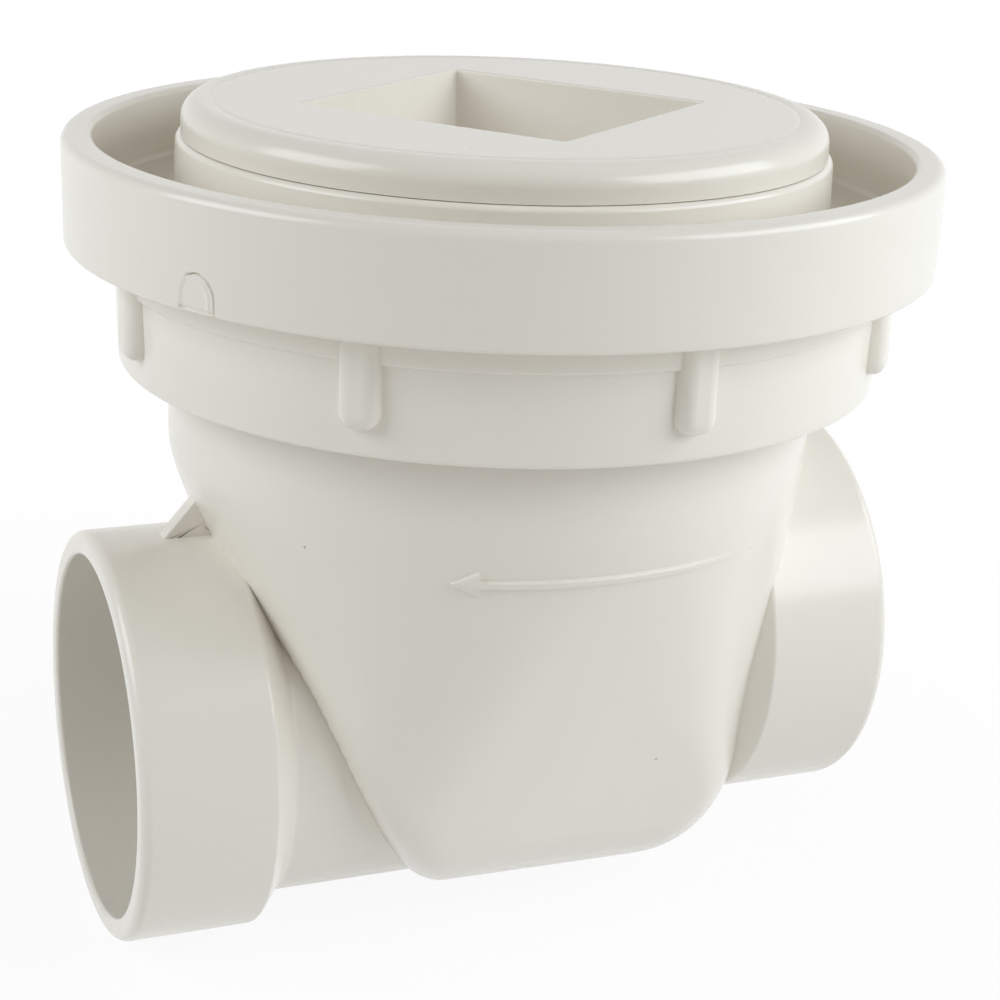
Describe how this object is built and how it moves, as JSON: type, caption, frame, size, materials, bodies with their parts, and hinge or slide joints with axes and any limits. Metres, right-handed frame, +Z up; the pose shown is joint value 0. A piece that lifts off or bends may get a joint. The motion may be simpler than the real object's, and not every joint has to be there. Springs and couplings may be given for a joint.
{
  "type": "backwater valve",
  "caption": "In-line drain backwater valve: two offset pipe hubs, a bowl-shaped chamber with a hinged flap gate, and a ribbed access collar closed by a screw-in cleanout plug.",
  "frame": {"origin": "centre of the outlet socket's mouth", "axes": "+X upstream along the waterway to the inlet, +Z up along the access opening's axis, +Y to the left of someone who looks upstream"},
  "size_m": [0.211, 0.211, 0.2038],
  "materials": {
    "pvc": "satin moulded white PVC",
    "gasket_rubber": "brown elastomer gasket",
    "seal_rubber": "black elastomer seal",
    "stainless": "plain stainless steel"
  },
  "bodies": {
    "body": {"valve_body": "pvc", "inlet_hub": "pvc", "access_collar": "pvc", "threaded_neck": "pvc", "hinge_saddle": "pvc", "saddle_screws": "stainless", "hinge_pin": "stainless", "pin_clips": "stainless"},
    "gate": {"flapper": "pvc", "flapper_seal": "seal_rubber", "seal_retainer": "stainless", "retainer_screws": "stainless"},
    "gasket": {"plug_gasket": "gasket_rubber"},
    "plug": {"cleanout_plug": "pvc"}
  },
  "joints": [
    {"name": "flapper_swing", "type": "hinge", "parent": "body", "child": "gate", "pos_m": [0.13503, 0, 0.0718], "axis": [0, 1, 0], "range_deg": [0, 72]},
    {"name": "plug_lift", "type": "slide", "parent": "body", "child": "gasket", "axis": [0, 0, 1], "range_m": [0, 0.0191]},
    {"name": "plug_turn", "type": "hinge", "parent": "gasket", "child": "plug", "pos_m": [0.1025, 0, 0.1438], "axis": [0, 0, 1], "range_deg": [0, 1080]}
  ],
  "couplings": [
    {"joint": "plug_lift", "follows": "plug_turn", "m_per_rad": 0.0010106}
  ]
}
